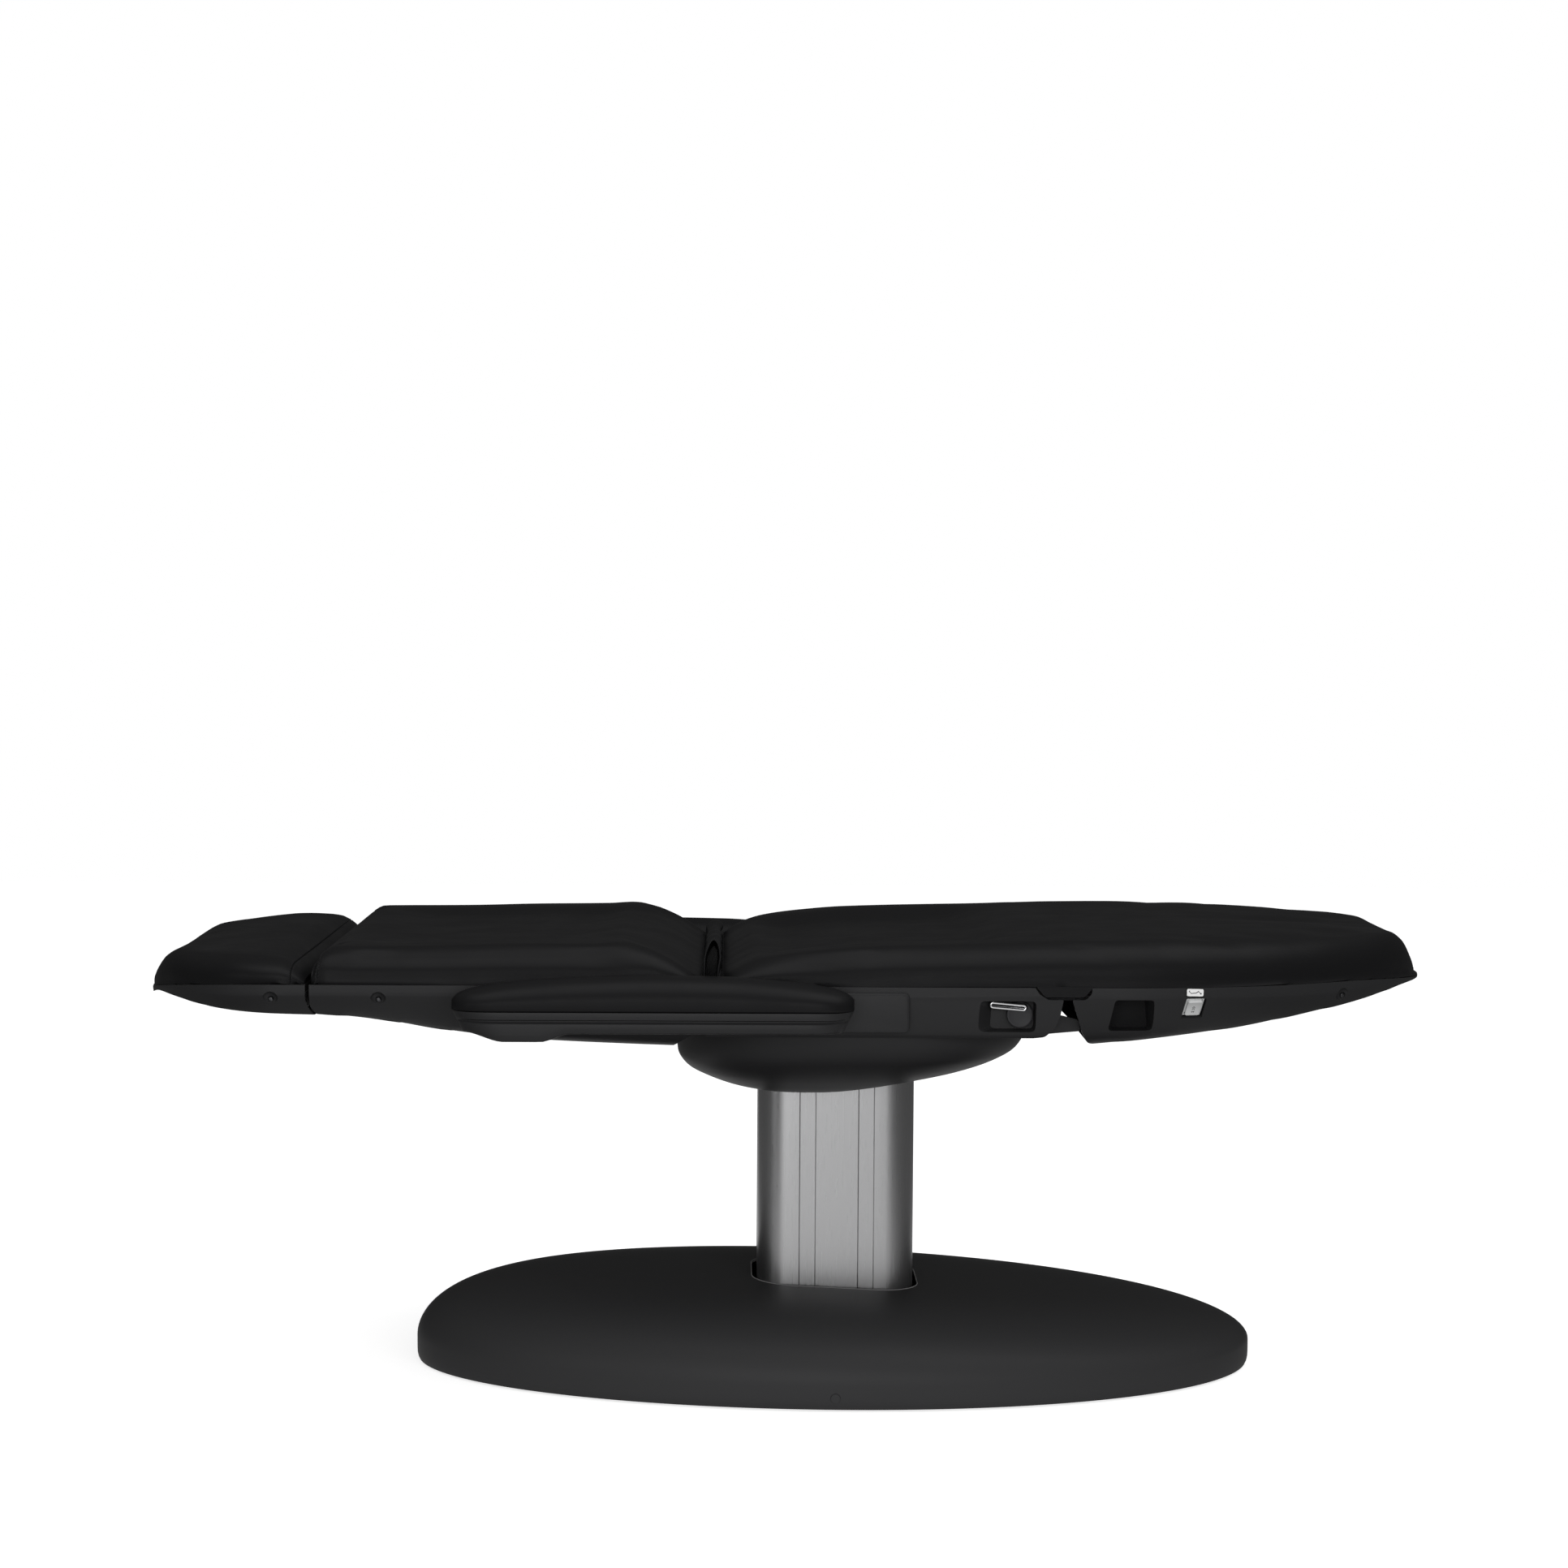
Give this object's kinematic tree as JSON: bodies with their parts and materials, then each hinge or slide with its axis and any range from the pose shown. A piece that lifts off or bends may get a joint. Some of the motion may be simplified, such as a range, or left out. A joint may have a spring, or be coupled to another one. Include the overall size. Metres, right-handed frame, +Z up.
{
  "type": "electric treatment table",
  "caption": "Black padded spa treatment table on an electric lifting column with an oval base, tilting back, head and leg sections and swing-up armrests.",
  "frame": {"origin": "centre of the outline on the floor", "axes": "+Z up, +X along the table from the headrest to the foot end, +Y across it, armrests at plus and minus Y"},
  "size_m": [2, 0.996, 0.7089],
  "materials": {
    "cover_plastic": "satin black moulding",
    "shell_plastic": "satin black moulding",
    "upholstery": "soft black synthetic leather",
    "column_aluminium": "satin extrusion",
    "frame_steel": "powder coated",
    "bright_steel": "turned",
    "chrome": "polished",
    "board_wood": "raw plywood",
    "drive_plastic": "moulded",
    "foot_rubber": "moulded",
    "lever_grey": "moulded grey",
    "switch_grey": "light grey",
    "plate_white": "printed plate"
  },
  "bodies": {
    "base": {"base_cover": "cover_plastic", "base_plate": "frame_steel", "foot_head_left": "foot_rubber", "foot_head_right": "foot_rubber", "foot_foot_left": "foot_rubber", "foot_foot_right": "foot_rubber", "base_plug": "cover_plastic", "power_inlet": "drive_plastic", "column_outer": "column_aluminium", "lift_motor": "drive_plastic"},
    "lift": {"column_inner": "column_aluminium", "lift_rod": "bright_steel", "lift_head_plate": "frame_steel", "tub": "shell_plastic", "seat_shell": "shell_plastic", "seat_frame": "frame_steel", "seat_board": "board_wood", "seat_cushion": "upholstery", "armrest_shaft_left": "bright_steel", "armrest_shaft_right": "bright_steel", "back_hinge_shaft": "bright_steel", "leg_hinge_shaft": "bright_steel", "gap_gaiter": "upholstery", "back_actuator": "drive_plastic", "leg_actuator": "drive_plastic", "control_box": "drive_plastic"},
    "back": {"back_shell": "shell_plastic", "back_screw_left": "bright_steel", "back_screw_right": "bright_steel", "back_frame": "frame_steel", "back_board": "board_wood", "back_cushion": "upholstery", "head_hinge_shaft": "bright_steel"},
    "head": {"head_shell": "shell_plastic", "head_screw_left": "bright_steel", "head_screw_right": "bright_steel", "head_frame": "frame_steel", "head_board": "board_wood", "head_cushion": "upholstery"},
    "leg": {"leg_shell": "shell_plastic", "leg_screw_left": "bright_steel", "leg_screw_right": "bright_steel", "leg_frame": "frame_steel", "leg_board": "board_wood", "leg_cushion": "upholstery", "rocker_bezel": "switch_grey", "label_plate": "plate_white"},
    "armrest_left": {"armrest_shell_left": "shell_plastic", "armrest_pad_left": "upholstery"},
    "armrest_right": {"armrest_shell_right": "shell_plastic", "armrest_pad_right": "upholstery"},
    "back_push": {"back_push_rod": "bright_steel"},
    "leg_push": {"leg_push_rod": "bright_steel"},
    "rocker": {"rocker_switch": "switch_grey"},
    "release": {"lever_disc": "lever_grey", "lever_loop": "chrome"}
  },
  "joints": [
    {"name": "lift_slide", "type": "slide", "parent": "base", "child": "lift", "axis": [0, 0, 1], "range_m": [0, 0.3]},
    {"name": "back_tilt", "type": "hinge", "parent": "lift", "child": "back", "pos_m": [-0.112, 0, 0.625], "axis": [0, 1, 0], "range_deg": [0, 55], "deforming": ["gap_gaiter"]},
    {"name": "head_tilt", "type": "hinge", "parent": "back", "child": "head", "pos_m": [-0.684, 0, 0.616], "axis": [0, 1, 0], "range_deg": [-30, 12]},
    {"name": "leg_tilt", "type": "hinge", "parent": "lift", "child": "leg", "pos_m": [0.4025, 0, 0.632], "axis": [0, 1, 0], "range_deg": [0, 28]},
    {"name": "armrest_left_tilt", "type": "hinge", "parent": "lift", "child": "armrest_left", "pos_m": [0.05, 0.4, 0.599], "axis": [0, 1, 0], "range_deg": [0, 55]},
    {"name": "armrest_right_tilt", "type": "hinge", "parent": "lift", "child": "armrest_right", "pos_m": [0.05, -0.4, 0.599], "axis": [0, 1, 0], "range_deg": [0, 55]},
    {"name": "back_push_slide", "type": "slide", "parent": "lift", "child": "back_push", "axis": [-1, 0, 0], "range_m": [0, 0.0585]},
    {"name": "leg_push_slide", "type": "slide", "parent": "lift", "child": "leg_push", "axis": [-1, 0, 0], "range_m": [0, 0.0435]},
    {"name": "rocker_press", "type": "hinge", "parent": "leg", "child": "rocker", "pos_m": [0.593, -0.364, 0.6082], "axis": [0.9863, 0.1647, 0], "range_deg": [-3, 3], "stiffness_Nm_per_rad": 0.5},
    {"name": "release_turn", "type": "hinge", "parent": "lift", "child": "release", "pos_m": [0.336, -0.358, 0.599], "axis": [0, 1, 0], "range_deg": [-25, 0], "stiffness_Nm_per_rad": 0.6}
  ],
  "couplings": [
    {"joint": "back_push_slide", "follows": "back_tilt", "m_per_rad": 0.06036},
    {"joint": "leg_push_slide", "follows": "leg_tilt", "m_per_rad": 0.08775}
  ]
}
